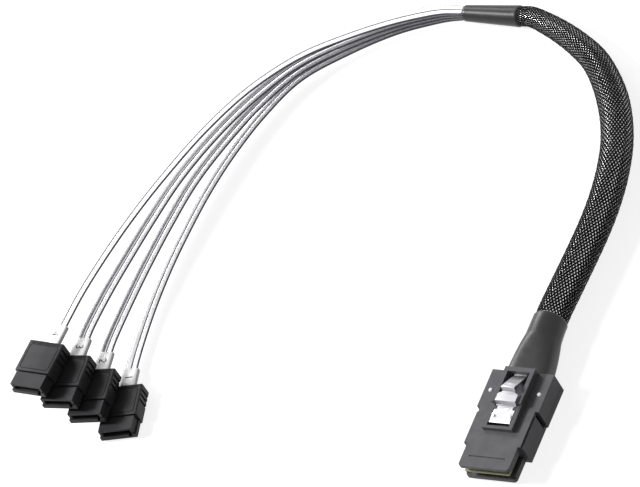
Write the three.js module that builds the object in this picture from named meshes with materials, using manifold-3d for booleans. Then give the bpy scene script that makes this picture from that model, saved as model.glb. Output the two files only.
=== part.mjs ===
// A mini SAS breakout cable: one wide host plug with a sprung metal latch, a braided
// sleeve that holds four flat ribbon cables, and four small drive plugs.
//
// Millimetres, +Z up. The cable lies on the plane z = 0. The origin is under the middle of
// the host plug, whose nose points to -Y; the cable leaves it to +Y and comes back on the
// left, so that all five plugs point to -Y. Every function below makes one kind of piece.

import * as THREE from "three";
import { mergeVertices } from "three/addons/utils/BufferGeometryUtils.js";
import Module from "manifold-3d";

const wasm = await Module();
wasm.setup();

// Clearances
const SEAT_GAP = 0.1; // between plastic parts of the host plug that are pressed together
const TURNED_GAP = 0.3; // between pieces of the parts that lie turned on the table
const LATCH_GAP = 0.3; // beside and around the moving latch

// Host plug housing
const PLUG_LENGTH = 38.5;
const PLUG_HEIGHT = 8.8;
const FLANGE_WIDTH = 23.4;
const FLANGE_LENGTH = 15;
const BLOCK_WIDTH = 22.4;
const BLOCK_LENGTH = 12.4;
const BLOCK_HEIGHT = 8.2;
const NOTCH_LENGTH = 1.7; // the slot between flange and side block
const NOSE_WIDTH = 19;
const NOSE_RADIUS = 1.2;
const PART_LINE = 2.4; // height of the joint between the two shells
const LID_THICKNESS = 1.3;
const FLOOR_THICKNESS = 1.5;
const WALL = 1.7;
const SKIRT_WALL = 0.8;
const SKIRT_DEPTH = 0.9;
const TONGUE_RISE = 1.0; // the tongue's underside above the plug's underside
const TONGUE_THICKNESS = 1.4;
const TONGUE_SETBACK = 0.5;
const CABLE_MOUTH_WIDTH = 14.6;
const CABLE_MOUTH_HEIGHT = 6.2;
const GROOVE_WIDTH = 0.5;
const GROOVE_DEPTH = 0.3;
const GROOVE_FROM_NOSE = 4.2;
const GROOVE_LENGTH = 13.6;

// Latch frame: two rails, a front bar and a rear bridge, raised on the top shell
const FRAME_WIDTH = 11.4;
const FRAME_FRONT = -4.6;
const FRAME_BAR = 1.1;
const FRAME_STEP = 5.2; // where the low front rails meet the high rear rails
const LOW_RAIL = 1.6;
const HIGH_RAIL = 2.6;
const BRIDGE_LENGTH = 1.7;
const POCKET_DEPTH = 0.6;
const NUB_LENGTH = 0.7;
const NUB_REACH = 0.9;

// Latch: a folded strip of spring steel
const LATCH_THICKNESS = 0.4;
const PLATE_WIDTH = 7.8;
const SHELF_WIDTH = 7.6;
const PAD_WIDTH = 5;
const PLATE_TOP = 10.4; // the hooked front plate
const SHELF_TOP = 12.2; // the step behind it
const PAD_TOP = 13.9; // the raised front edge of the thumb pad
const TAIL_TOP = 9.6; // the rear end, held in the bridge
const PLATE_FRONT = -2.3;
const SHELF_FRONT = 4.9;
const PAD_FRONT = 9.4;
const TAIL_FRONT = 16.9;
const TAIL_LENGTH = 1.7;
const HOOK_HEIGHT = 0.9;
const HOOK_LENGTH = 1.6;
const HOOK_WIDTH = 0.7;
const HOOK_FROM_FRONT = 1.5;
const RIDGE_HEIGHT = 0.25;
const RIDGE_PITCH = 0.75;
const RIDGE_COUNT = 3;

// Rivets
const RIVET_SPACING = 18.4;
const RIVET_Y = 11.05;
const RIVET_RADIUS = 0.6;
const RIVET_HEAD_RADIUS = 0.85;
const RIVET_HEAD_HEIGHT = 0.4;

// Paddle card
const CARD_WIDTH = 16.6;
const CARD_THICKNESS = 1.0;
const CARD_TOP = 5.6;
const CARD_LENGTH = 26.5;
const CARD_SETBACK = 0.4;
const CARD_CHAMFER = 0.35;
const PAD_PITCH = 0.8;
const PADS_PER_SIDE = 18;
const CONTACT_PAD_WIDTH = 0.5;
const CONTACT_PAD_LENGTH = 3.6;
const CONTACT_PAD_THICKNESS = 0.08;
const CONTACT_PAD_SETBACK = 0.9;
const LEDGE_WIDTH = 1.4; // inside the side blocks, under the card's edges

// Wire block behind the card
const WIRE_BLOCK_GRIP = 2.4; // how far it reaches over the card

// Boot
const BOOT_LENGTH = 23;
const BOOT_BASE_WIDTH = 15.8;
const BOOT_BASE_HEIGHT = 8;
const BOOT_END_WIDTH = 12.2;
const BOOT_END_HEIGHT = 11.6;
const BOOT_FLANGE_WIDTH = 17;
const BOOT_FLANGE_LENGTH = 1.6; // the flange inside the plug that holds the boot

// Sleeve and collar
const SLEEVE_DIAMETER = 11.4;
const SLEEVE_END_DIAMETER = 7.2;
const SLEEVE_TAPER_START = 0.6; // share of its length after which the sleeve gets thinner
const SLEEVE_STRAIGHT = 4; // straight runs at the boot and at the collar
const COLLAR_DIAMETER = 7.8;
const COLLAR_END_DIAMETER = 5.8;
const COLLAR_LENGTH = 23;
const COLLAR_ROUNDING = 0.9;
const COLLAR_END = { x: -85.6, y: 168.6, z: 4 };

// Ribbon cables
const RIBBON_WIDTH = 4.8;
const RIBBON_THICKNESS = 1.0;
const RIBBON_SQUEEZE = 0.78; // share of its section where the collar grips it
const RIBBON_PITCH = 1.1; // height of one ribbon above the next at the collar
const RIBBON_STRAIGHT = 12.5; // the straight run behind each drive plug

// Labels
const LABEL_LENGTH = 7.6;
const LABEL_WALL = 0.35;
const LABEL_FROM_PLUG = 1;

// Drive plugs, measured with the cable end at y = 0 and the nose at -Y
const DRIVE_WIDTH = 14.4;
const DRIVE_HEIGHT = 5.9;
const OVERMOULD_LENGTH = 12.5;
const OVERMOULD_EDGE = 0.5;
const GRIP_COUNT = 3;
const GRIP_PITCH = 2;
const GRIP_WIDTH = 0.9;
const GRIP_DEPTH = 0.5;
const GRIP_START = 1.7;
const HOUSING_LENGTH = 6;
const HOUSING_WIDTH = 13.8;
const HOUSING_LIP = 0.5; // the lower half stands out to the front and sides
const HOUSING_BOTTOM = 0.8;
const HOUSING_STEP = 2.5; // height of the step between the two halves
const HOUSING_TOP = 5.4;
const TAIL_WIDTH = 10;
const TAIL_HEIGHT = 2.6;
const TAIL_DEPTH = 3;
const MOUTH_WIDTH = 10.6;
const MOUTH_HEIGHT = 2;
const MOUTH_DEPTH = 5.4;
const KEY_WIDTH = 1.2;
const KEY_HEIGHT = 1;
const CONTACT_COUNT = 7;
const CONTACT_PITCH = 1.27;
const CONTACT_WIDTH = 0.6;
const CONTACT_THICKNESS = 0.3;
const CONTACT_LENGTH = 3.4;
const WAFER_LENGTH = 1.2;
const WAFER_HEIGHT = 1.1;

// Where the drive plugs lie: the middle of each cable end, its turn about Z in degrees, and
// the plugs are stacked like stairs, number 1 on the table
const STAIR = DRIVE_HEIGHT + TURNED_GAP;
const DRIVE_PLUGS = [
  { number: 1, x: -151.95, y: -0.05, turn: 13.4 },
  { number: 2, x: -160.8, y: 1.7, turn: 8.6 },
  { number: 3, x: -168.05, y: 2.45, turn: 4.5 },
  { number: 4, x: -175.65, y: 2.85, turn: -2.5 },
];

// The sleeve's route, from the boot to the collar, chosen by hand on the table
const SLEEVE_ROUTE = [
  [0.6, 58, 5.75],
  [1.2, 70, 5.75],
  [1.5, 82, 5.75],
  [1.0, 93, 5.75],
  [-0.6, 104.5, 5.75],
  [-3.6, 116.3, 5.75],
  [-8.6, 128, 5.75],
  [-15.8, 139.4, 5.5],
  [-25.3, 150.2, 5.2],
  [-34.3, 156.8, 4.9],
  [-43, 161.9, 4.5],
  [-51.5, 166, 4.1],
];

// The ribbons' routes between the collar and the straight run behind each plug
const RIBBON_ROUTES = [
  [
    [-94, 167.3, 2.35], [-110, 161.2, 2.5], [-127.5, 149.8, 2.6], [-141.8, 136.8, 2.7],
    [-150, 119.5, 2.8], [-154.8, 102, 2.9], [-157.5, 85, 2.95], [-158.6, 68, 2.95],
    [-158.8, 51, 2.95], [-157.6, 32, 2.95],
  ],
  [
    [-94, 167.4, 3.65], [-109.5, 161.6, 4], [-127, 151, 4.4], [-141.5, 138.5, 5],
    [-151, 121, 5.9], [-157.3, 102, 6.8], [-161, 84.5, 7.7], [-162.4, 66, 8.4],
    [-163, 48, 8.9], [-163.1, 30, 9.1],
  ],
  [
    [-94, 167.5, 4.95], [-109, 162.1, 5.5], [-126, 152.2, 6.3], [-141, 139.7, 7.5],
    [-151.8, 122, 9.1], [-159.3, 102, 10.9], [-164, 82, 12.5], [-166, 64, 13.7],
    [-167.4, 46, 14.7], [-168.6, 30, 15.2],
  ],
  [
    [-94, 167.6, 6.25], [-108, 162.6, 7.1], [-124.5, 153.4, 8.5], [-140, 141.4, 10.3],
    [-152.5, 124, 12.6], [-161, 103, 15.1], [-167, 79, 17.7], [-170.6, 60, 19.4],
    [-173, 42, 20.7], [-174.6, 26, 21.4],
  ],
];

// Sizes worked out from the ones above
const PLUG_BACK = PLUG_LENGTH / 2;
const PLUG_FRONT = -PLUG_LENGTH / 2;
const FLANGE_FRONT = PLUG_BACK - FLANGE_LENGTH;
const BLOCK_BACK = FLANGE_FRONT - NOTCH_LENGTH;
const BLOCK_FRONT = BLOCK_BACK - BLOCK_LENGTH;
const LID_BOTTOM = PLUG_HEIGHT - LID_THICKNESS;
const CARD_FRONT = PLUG_FRONT + CARD_SETBACK;
const CARD_BACK = CARD_FRONT + CARD_LENGTH;
const WIRE_BLOCK_FRONT = CARD_BACK - WIRE_BLOCK_GRIP;
const BOOT_FLANGE_BACK = PLUG_BACK - WALL - SEAT_GAP;
const SLEEVE_AXIS = SLEEVE_DIAMETER / 2 + 0.05; // the sleeve just clears the table
const BRIDGE_FRONT = PLUG_BACK - BRIDGE_LENGTH;

// Solids: three.js geometries go into manifold-3d as closed meshes, and come back

function solid(geometry) {
  const bare = geometry.index ? geometry.toNonIndexed() : geometry.clone();
  bare.deleteAttribute("normal");
  bare.deleteAttribute("uv");
  const merged = mergeVertices(bare, 1e-4);
  return new wasm.Manifold(
    new wasm.Mesh({
      numProp: 3,
      vertProperties: new Float32Array(merged.attributes.position.array),
      triVerts: new Uint32Array(merged.index.array),
    }),
  );
}

function join(...geometries) {
  return geometries.map(solid).reduce((all, one) => all.add(one));
}

function geometryOf(manifold) {
  const mesh = manifold.getMesh();
  const geometry = new THREE.BufferGeometry();
  geometry.setAttribute("position", new THREE.BufferAttribute(mesh.vertProperties, 3));
  geometry.setIndex(new THREE.BufferAttribute(mesh.triVerts, 1));
  geometry.computeVertexNormals();
  return geometry;
}

function box(x0, x1, y0, y1, z0, z1) {
  const geometry = new THREE.BoxGeometry(x1 - x0, y1 - y0, z1 - z0);
  return geometry.translate((x0 + x1) / 2, (y0 + y1) / 2, (z0 + z1) / 2);
}

// A box that is centred on x = 0
function middleBox(width, y0, y1, z0, z1) {
  return box(-width / 2, width / 2, y0, y1, z0, z1);
}

function outline(points) {
  return new THREE.Shape(points.map(([x, y]) => new THREE.Vector2(x, y)));
}

// An outline seen from above, raised from z0 to z1
function prismUp(shape, z0, z1) {
  const geometry = new THREE.ExtrudeGeometry(shape, {
    depth: z1 - z0,
    bevelEnabled: false,
    curveSegments: 4,
  });
  return geometry.translate(0, 0, z0);
}

// An outline in (y, z), carried along X and centred on x = 0
function prismAcross(shape, width) {
  const geometry = prismUp(shape, -width / 2, width / 2);
  return geometry.applyMatrix4(
    new THREE.Matrix4().makeBasis(
      new THREE.Vector3(0, 1, 0),
      new THREE.Vector3(0, 0, 1),
      new THREE.Vector3(1, 0, 0),
    ),
  );
}

// An outline in (x, z), carried along Y from y0 to y1
function prismBack(shape, y0, y1) {
  const geometry = prismUp(shape, -y1, -y0);
  return geometry.applyMatrix4(
    new THREE.Matrix4().makeBasis(
      new THREE.Vector3(1, 0, 0),
      new THREE.Vector3(0, 0, 1),
      new THREE.Vector3(0, -1, 0),
    ),
  );
}

// A rectangle with round corners, centred on (x, y)
function roundRectangle(width, height, radius, x = 0, y = 0) {
  const right = x + width / 2;
  const left = x - width / 2;
  const top = y + height / 2;
  const bottom = y - height / 2;
  const shape = new THREE.Shape();
  shape.moveTo(right, bottom + radius);
  shape.lineTo(right, top - radius);
  shape.absarc(right - radius, top - radius, radius, 0, Math.PI / 2);
  shape.lineTo(left + radius, top);
  shape.absarc(left + radius, top - radius, radius, Math.PI / 2, Math.PI);
  shape.lineTo(left, bottom + radius);
  shape.absarc(left + radius, bottom + radius, radius, Math.PI, Math.PI * 1.5);
  shape.lineTo(right - radius, bottom);
  shape.absarc(right - radius, bottom + radius, radius, Math.PI * 1.5, Math.PI * 2);
  return shape;
}

// The nose seen from above: straight sides, round corners at the front
function noseOutline(width, front, back, radius) {
  const half = width / 2;
  const shape = new THREE.Shape();
  shape.moveTo(half, back);
  shape.lineTo(-half, back);
  shape.lineTo(-half, front + radius);
  shape.absarc(-half + radius, front + radius, radius, Math.PI, Math.PI * 1.5);
  shape.lineTo(half - radius, front);
  shape.absarc(half - radius, front + radius, radius, Math.PI * 1.5, Math.PI * 2);
  return shape;
}

// A mesh of rings joined ring to ring, closed at both ends; each ring is a list of points
function loft(rings) {
  const sides = rings[0].length;
  const positions = rings.flat().flatMap((p) => [p.x, p.y, p.z]);
  const faces = [];
  for (let r = 0; r + 1 < rings.length; r++) {
    for (let i = 0; i < sides; i++) {
      const a = r * sides + i;
      const b = r * sides + ((i + 1) % sides);
      faces.push(a, b, b + sides, a, b + sides, a + sides);
    }
  }
  const last = (rings.length - 1) * sides;
  for (let i = 1; i + 1 < sides; i++) {
    faces.push(0, i + 1, i, last, last + i, last + i + 1);
  }
  const geometry = new THREE.BufferGeometry();
  geometry.setAttribute("position", new THREE.Float32BufferAttribute(positions, 3));
  geometry.setIndex(faces);
  return geometry;
}

// A route for flat or tapered cords. Its frames stay level, so that a flat ribbon doesn't
// roll over as it climbs, and their length scales the section along the way.
class LevelRoute extends THREE.CatmullRomCurve3 {
  constructor(points, scaleAt) {
    super(points);
    this.scaleAt = scaleAt;
  }

  computeFrenetFrames(segments) {
    const tangents = [];
    const normals = [];
    const binormals = [];
    for (let i = 0; i <= segments; i++) {
      const share = i / segments;
      const scale = this.scaleAt(share);
      const tangent = this.getTangentAt(share);
      const level = new THREE.Vector3(0, 0, 1).cross(tangent).normalize();
      tangents.push(tangent);
      normals.push(level.clone().multiplyScalar(scale));
      binormals.push(tangent.clone().cross(level).multiplyScalar(scale));
    }
    return { tangents, normals, binormals };
  }
}

function vectors(points) {
  return points.map(([x, y, z]) => new THREE.Vector3(x, y, z));
}

function regularOutline(diameter, sides) {
  const points = [];
  for (let i = 0; i < sides; i++) {
    const angle = ((i + 0.5) / sides) * 2 * Math.PI;
    points.push([(Math.cos(angle) * diameter) / 2, (Math.sin(angle) * diameter) / 2]);
  }
  return outline(points);
}

// Materials

const darkPlastic = () => new THREE.MeshStandardMaterial({ color: 0x67676b, roughness: 0.6 });
const darkGrey = () => new THREE.MeshStandardMaterial({ color: 0x525256, roughness: 0.6 });
const blackGloss = () => new THREE.MeshStandardMaterial({ color: 0x111113, roughness: 0.25 });
const spring = () =>
  new THREE.MeshStandardMaterial({ color: 0xd8d8dc, roughness: 0.3, metalness: 1 });
const cardGreen = () => new THREE.MeshStandardMaterial({ color: 0x8f9468, roughness: 0.5 });
const shrinkTube = () => new THREE.MeshStandardMaterial({ color: 0x4c4c50, roughness: 0.45 });
const braid = () => new THREE.MeshStandardMaterial({ color: 0x1a1a1c, roughness: 0.8 });
const silver = () =>
  new THREE.MeshStandardMaterial({ color: 0xe4e4e8, roughness: 0.25, metalness: 0.6 });
const paper = () => new THREE.MeshStandardMaterial({ color: 0xf4f4f4, roughness: 0.5 });
const gold = () => new THREE.MeshStandardMaterial({ color: 0xd6ab4e, roughness: 0.3, metalness: 1 });

function piece(name, shape, material) {
  const geometry = shape.isBufferGeometry ? shape : geometryOf(shape);
  const mesh = new THREE.Mesh(geometry, material);
  mesh.name = name;
  return mesh;
}

// Host plug

function rivetHole() {
  const radius = RIVET_RADIUS + SEAT_GAP;
  const hole = new THREE.CylinderGeometry(radius, radius, PLUG_HEIGHT * 2, 12);
  return hole.rotateX(Math.PI / 2);
}

function rivetHoles() {
  return [-1, 1].map((side) =>
    solid(rivetHole().translate((side * RIVET_SPACING) / 2, RIVET_Y, PLUG_HEIGHT / 2)),
  );
}

// The raised frame that the latch lives in, as four bars standing on the lid
function latchFrame() {
  const low = PLUG_HEIGHT + LOW_RAIL;
  const high = PLUG_HEIGHT + HIGH_RAIL;
  const foot = PLUG_HEIGHT - POCKET_DEPTH;
  const inner = PLATE_WIDTH + 2 * LATCH_GAP;
  const rails = [-1, 1].flatMap((side) => {
    const near = Math.min((side * inner) / 2, (side * FRAME_WIDTH) / 2);
    const far = Math.max((side * inner) / 2, (side * FRAME_WIDTH) / 2);
    return [
      box(near, far, FRAME_FRONT, FRAME_STEP, foot, low),
      box(near, far, FRAME_STEP, PLUG_BACK, foot, high),
    ];
  });
  return join(
    ...rails,
    middleBox(FRAME_WIDTH, FRAME_FRONT, FRAME_FRONT + FRAME_BAR, foot, low),
    middleBox(FRAME_WIDTH, BRIDGE_FRONT, PLUG_BACK, foot, high),
  );
}

function notchMiddle() {
  return SHELF_FRONT - 1.3;
}

function topShell() {
  const flange = middleBox(FLANGE_WIDTH, FLANGE_FRONT, PLUG_BACK, PART_LINE, PLUG_HEIGHT);
  const lidWidth = BLOCK_WIDTH - 2 * SKIRT_WALL;
  const lid = middleBox(lidWidth, BLOCK_FRONT, FLANGE_FRONT, LID_BOTTOM, PLUG_HEIGHT);
  const nose = noseOutline(NOSE_WIDTH, PLUG_FRONT, BLOCK_FRONT, NOSE_RADIUS);
  const skirts = [-1, 1].map((side) => {
    const outer = (side * NOSE_WIDTH) / 2;
    const inner = outer - side * SKIRT_WALL;
    return box(
      Math.min(outer, inner),
      Math.max(outer, inner),
      PLUG_FRONT + NOSE_RADIUS,
      BLOCK_FRONT,
      LID_BOTTOM - SKIRT_DEPTH,
      PLUG_HEIGHT,
    );
  });
  const cavity = middleBox(
    FLANGE_WIDTH - 2 * WALL,
    FLANGE_FRONT - 1,
    PLUG_BACK - WALL,
    0,
    LID_BOTTOM,
  );
  const mouthShape = roundRectangle(
    CABLE_MOUTH_WIDTH,
    CABLE_MOUTH_HEIGHT,
    1,
    0,
    PLUG_HEIGHT / 2,
  );
  const mouth = prismBack(mouthShape, PLUG_BACK - WALL - 1, PLUG_BACK + 1);
  const pocket = middleBox(
    PLATE_WIDTH + 2 * LATCH_GAP,
    FRAME_FRONT + FRAME_BAR,
    BRIDGE_FRONT,
    PLUG_HEIGHT - POCKET_DEPTH,
    PLUG_HEIGHT + HIGH_RAIL + 1,
  );
  const slot = middleBox(
    PAD_WIDTH + 2 * LATCH_GAP,
    BRIDGE_FRONT - 1,
    TAIL_FRONT + TAIL_LENGTH + LATCH_GAP,
    TAIL_TOP - LATCH_THICKNESS - LATCH_GAP,
    TAIL_TOP + LATCH_GAP,
  );
  const grooveY = PLUG_FRONT + GROOVE_FROM_NOSE;
  const groove = middleBox(
    GROOVE_LENGTH,
    grooveY - GROOVE_WIDTH / 2,
    grooveY + GROOVE_WIDTH / 2,
    PLUG_HEIGHT - GROOVE_DEPTH,
    PLUG_HEIGHT + 1,
  );
  const nubs = latchNubs();
  return join(flange, lid, prismUp(nose, LID_BOTTOM, PLUG_HEIGHT), ...skirts)
    .subtract(solid(cavity))
    .subtract(solid(mouth))
    .subtract(solid(pocket))
    .add(latchFrame().subtract(solid(pocket)))
    .add(nubs)
    .subtract(solid(slot))
    .subtract(solid(groove))
    .subtract(rivetHoles()[0])
    .subtract(rivetHoles()[1]);
}

// Two small nubs on the low rails, which sit in the notches of the latch plate
function latchNubs() {
  const inner = PLATE_WIDTH / 2 + LATCH_GAP;
  const top = PLUG_HEIGHT + LOW_RAIL;
  const y = notchMiddle();
  return join(
    ...[-1, 1].map((side) => {
      const tip = side * (inner - NUB_REACH);
      const root = side * (inner + LATCH_GAP);
      const x0 = Math.min(tip, root);
      const x1 = Math.max(tip, root);
      return box(x0, x1, y - NUB_LENGTH / 2, y + NUB_LENGTH / 2, top - NUB_LENGTH, top);
    }),
  );
}

function bottomShell() {
  const half = BLOCK_WIDTH / 2;
  const flange = middleBox(
    FLANGE_WIDTH,
    FLANGE_FRONT - SEAT_GAP,
    PLUG_BACK,
    0,
    PART_LINE - SEAT_GAP,
  );
  const floor = middleBox(BLOCK_WIDTH, BLOCK_FRONT, FLANGE_FRONT, 0, FLOOR_THICKNESS);
  const tongueShape = noseOutline(
    NOSE_WIDTH,
    PLUG_FRONT + TONGUE_SETBACK,
    BLOCK_FRONT + 2,
    NOSE_RADIUS,
  );
  const tongue = prismUp(tongueShape, TONGUE_RISE, TONGUE_RISE + TONGUE_THICKNESS);
  const blockInner = half - SKIRT_WALL - SEAT_GAP;
  const blocks = [-1, 1].flatMap((side) => {
    const lidEdge = side * (blockInner + 2 * SEAT_GAP);
    const wallInner = (side * CARD_WIDTH) / 2 + side * SEAT_GAP;
    const ledgeInner = wallInner - side * LEDGE_WIDTH;
    const outer = side * half;
    const between = (a, b, z0, z1) =>
      box(Math.min(a, b), Math.max(a, b), BLOCK_FRONT, BLOCK_BACK, z0, z1);
    return [
      between(wallInner, outer, 0, LID_BOTTOM - SEAT_GAP),
      between(lidEdge, outer, 0, BLOCK_HEIGHT),
      between(ledgeInner, outer, 0, CARD_TOP - CARD_THICKNESS - SEAT_GAP),
    ];
  });
  const rails = [-1, 1].map((side) => {
    const outer = (side * NOSE_WIDTH) / 2;
    const inner = outer - side * SKIRT_WALL;
    return box(
      Math.min(outer, inner),
      Math.max(outer, inner),
      PLUG_FRONT + TONGUE_SETBACK + NOSE_RADIUS,
      BLOCK_FRONT,
      TONGUE_RISE,
      TONGUE_RISE + TONGUE_THICKNESS + SKIRT_DEPTH,
    );
  });
  const cavity = middleBox(
    FLANGE_WIDTH - 2 * WALL,
    FLANGE_FRONT - 1,
    PLUG_BACK - WALL,
    FLOOR_THICKNESS,
    PLUG_HEIGHT,
  );
  const mouthShape = roundRectangle(
    CABLE_MOUTH_WIDTH,
    CABLE_MOUTH_HEIGHT,
    1,
    0,
    PLUG_HEIGHT / 2,
  );
  const mouth = prismBack(mouthShape, PLUG_BACK - WALL - 1, PLUG_BACK + 1);
  return join(flange, floor, tongue, ...blocks, ...rails)
    .subtract(solid(cavity))
    .subtract(solid(mouth))
    .subtract(rivetHoles()[0])
    .subtract(rivetHoles()[1]);
}

function rivet(side) {
  const bottom = FLOOR_THICKNESS / 2;
  const profile = [
    [0, bottom],
    [RIVET_RADIUS, bottom],
    [RIVET_RADIUS, PLUG_HEIGHT],
    [RIVET_HEAD_RADIUS, PLUG_HEIGHT],
    [RIVET_HEAD_RADIUS * 0.7, PLUG_HEIGHT + RIVET_HEAD_HEIGHT * 0.8],
    [0, PLUG_HEIGHT + RIVET_HEAD_HEIGHT],
  ].map(([x, y]) => new THREE.Vector2(x, y));
  const geometry = new THREE.LatheGeometry(profile, 12).rotateX(Math.PI / 2);
  return solid(geometry.translate((side * RIVET_SPACING) / 2, RIVET_Y, 0));
}

function paddleCard() {
  const bottom = CARD_TOP - CARD_THICKNESS;
  const side = outline([
    [CARD_FRONT, bottom + CARD_CHAMFER],
    [CARD_FRONT + CARD_CHAMFER, bottom],
    [CARD_BACK, bottom],
    [CARD_BACK, CARD_TOP],
    [CARD_FRONT + CARD_CHAMFER, CARD_TOP],
    [CARD_FRONT, CARD_TOP - CARD_CHAMFER],
  ]);
  const pads = [];
  for (let i = 0; i < PADS_PER_SIDE; i++) {
    const x = (i - (PADS_PER_SIDE - 1) / 2) * PAD_PITCH;
    const y0 = CARD_FRONT + CONTACT_PAD_SETBACK;
    const x0 = x - CONTACT_PAD_WIDTH / 2;
    const x1 = x + CONTACT_PAD_WIDTH / 2;
    const lowest = bottom - CONTACT_PAD_THICKNESS;
    const highest = CARD_TOP + CONTACT_PAD_THICKNESS;
    pads.push(box(x0, x1, y0, y0 + CONTACT_PAD_LENGTH, lowest, highest));
  }
  return join(prismAcross(side, CARD_WIDTH), ...pads);
}

function wireBlock() {
  const width = FLANGE_WIDTH - 2 * WALL - 2 * SEAT_GAP;
  const bottom = FLOOR_THICKNESS + SEAT_GAP;
  const top = LID_BOTTOM - SEAT_GAP;
  const back = BOOT_FLANGE_BACK - BOOT_FLANGE_LENGTH - SEAT_GAP;
  const block = middleBox(width, WIRE_BLOCK_FRONT, back, bottom, top);
  const cardSlot = middleBox(
    CARD_WIDTH + 2 * SEAT_GAP,
    WIRE_BLOCK_FRONT - 1,
    CARD_BACK + SEAT_GAP,
    CARD_TOP - CARD_THICKNESS - SEAT_GAP,
    CARD_TOP + SEAT_GAP,
  );
  return solid(block)
    .subtract(solid(cardSlot))
    .subtract(rivetHoles()[0])
    .subtract(rivetHoles()[1]);
}

// The side view of a folded strip: its upper line, with the sheet's thickness below it
function stripOutline(line, thickness) {
  const below = line.map((point, i) => {
    const before = line[Math.max(i - 1, 0)];
    const after = line[Math.min(i + 1, line.length - 1)];
    const into = new THREE.Vector2(point[0] - before[0], point[1] - before[1]);
    const out = new THREE.Vector2(after[0] - point[0], after[1] - point[1]);
    const a = (into.length() ? into : out).normalize();
    const b = (out.length() ? out : a.clone()).normalize();
    const middle = a.clone().add(b).normalize();
    const reach = thickness / Math.max(middle.dot(a), 0.5);
    return [point[0] + middle.y * reach, point[1] - middle.x * reach];
  });
  return outline([...line, ...below.reverse()]);
}

function latch() {
  const line = [
    [PLATE_FRONT, PLATE_TOP - 0.25],
    [PLATE_FRONT + 0.5, PLATE_TOP],
    [SHELF_FRONT - 0.2, PLATE_TOP],
    [SHELF_FRONT + 0.3, SHELF_TOP],
    [PAD_FRONT - 0.4, SHELF_TOP],
    [PAD_FRONT, PAD_TOP],
    [PAD_FRONT + 0.5, PAD_TOP],
    [TAIL_FRONT, TAIL_TOP],
    [TAIL_FRONT + TAIL_LENGTH, TAIL_TOP],
  ];
  const strip = prismAcross(stripOutline(line, LATCH_THICKNESS), PLATE_WIDTH);
  const padBack = TAIL_FRONT + TAIL_LENGTH;
  const notchHalf = NUB_LENGTH / 2 + LATCH_GAP;
  const notchInner = PLATE_WIDTH / 2 + LATCH_GAP - NUB_REACH - LATCH_GAP;
  const halfPlan = [
    [PLATE_WIDTH / 2, PLATE_FRONT - 1],
    [PLATE_WIDTH / 2, notchMiddle() - notchHalf],
    [notchInner, notchMiddle() - notchHalf],
    [notchInner, notchMiddle() + notchHalf],
    [SHELF_WIDTH / 2, notchMiddle() + notchHalf + 0.2],
    [SHELF_WIDTH / 2, PAD_FRONT - 1.4],
    [PAD_WIDTH / 2, PAD_FRONT - 0.7],
    [PAD_WIDTH / 2, padBack],
  ];
  const plan = outline([...halfPlan, ...halfPlan.map(([x, y]) => [-x, y]).reverse()]);
  const cutter = solid(prismUp(plan, 0, PAD_TOP + 2));
  const hookBack = PLATE_FRONT + HOOK_FROM_FRONT + HOOK_LENGTH;
  const hookSide = outline([
    [hookBack, PLATE_TOP - LATCH_THICKNESS / 2],
    [hookBack, PLATE_TOP + HOOK_HEIGHT],
    [hookBack - HOOK_LENGTH, PLATE_TOP - LATCH_THICKNESS / 2],
  ]);
  const hooks = [-1, 1].map((side) => {
    const x = side * (PLATE_WIDTH / 2 - HOOK_WIDTH);
    return prismAcross(hookSide, HOOK_WIDTH).translate(x, 0, 0);
  });
  const slope = (TAIL_TOP - PAD_TOP) / (TAIL_FRONT - PAD_FRONT - 0.5);
  const ridges = [];
  for (let i = 0; i < RIDGE_COUNT; i++) {
    const y = PAD_FRONT + 0.9 + i * RIDGE_PITCH;
    const z = PAD_TOP + slope * (y - PAD_FRONT - 0.5);
    const side = outline([
      [y - 0.2, z - 0.2],
      [y + 0.2, z - 0.2],
      [y, z + RIDGE_HEIGHT],
    ]);
    ridges.push(prismAcross(side, PAD_WIDTH - 1));
  }
  return solid(strip)
    .intersect(cutter)
    .add(join(...hooks, ...ridges));
}

// The boot: a rounded oblong at the plug that becomes a round end over the sleeve
function boot() {
  const sides = 32;
  const ringAt = (y, width, height, z, power) => {
    const ring = [];
    for (let i = 0; i < sides; i++) {
      const angle = (-i / sides) * 2 * Math.PI;
      const c = Math.cos(angle);
      const s = Math.sin(angle);
      const x = (Math.sign(c) * Math.abs(c) ** (2 / power) * width) / 2;
      const up = (Math.sign(s) * Math.abs(s) ** (2 / power) * height) / 2;
      ring.push(new THREE.Vector3(x, y, z + up));
    }
    return ring;
  };
  const start = PLUG_BACK + SEAT_GAP;
  const rings = [];
  const steps = 8;
  for (let i = 0; i <= steps; i++) {
    const share = i / steps;
    const ease = share * share * (3 - 2 * share);
    rings.push(
      ringAt(
        start + share * (BOOT_LENGTH - SEAT_GAP),
        THREE.MathUtils.lerp(BOOT_BASE_WIDTH, BOOT_END_WIDTH, ease),
        THREE.MathUtils.lerp(BOOT_BASE_HEIGHT, BOOT_END_HEIGHT, ease),
        THREE.MathUtils.lerp(PLUG_HEIGHT / 2, BOOT_END_HEIGHT / 2 + 0.02, ease),
        THREE.MathUtils.lerp(5, 2, Math.min(1, share * 1.5)),
      ),
    );
  }
  const neckShape = roundRectangle(
    CABLE_MOUTH_WIDTH - 2 * SEAT_GAP,
    CABLE_MOUTH_HEIGHT - 2 * SEAT_GAP,
    1 - SEAT_GAP,
    0,
    PLUG_HEIGHT / 2,
  );
  const neck = prismBack(neckShape, BOOT_FLANGE_BACK - BOOT_FLANGE_LENGTH / 2, start + 0.5);
  const flange = middleBox(
    BOOT_FLANGE_WIDTH,
    BOOT_FLANGE_BACK - BOOT_FLANGE_LENGTH,
    BOOT_FLANGE_BACK,
    FLOOR_THICKNESS + SEAT_GAP,
    LID_BOTTOM - SEAT_GAP,
  );
  return join(loft(rings), neck, flange);
}

// Cable

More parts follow.
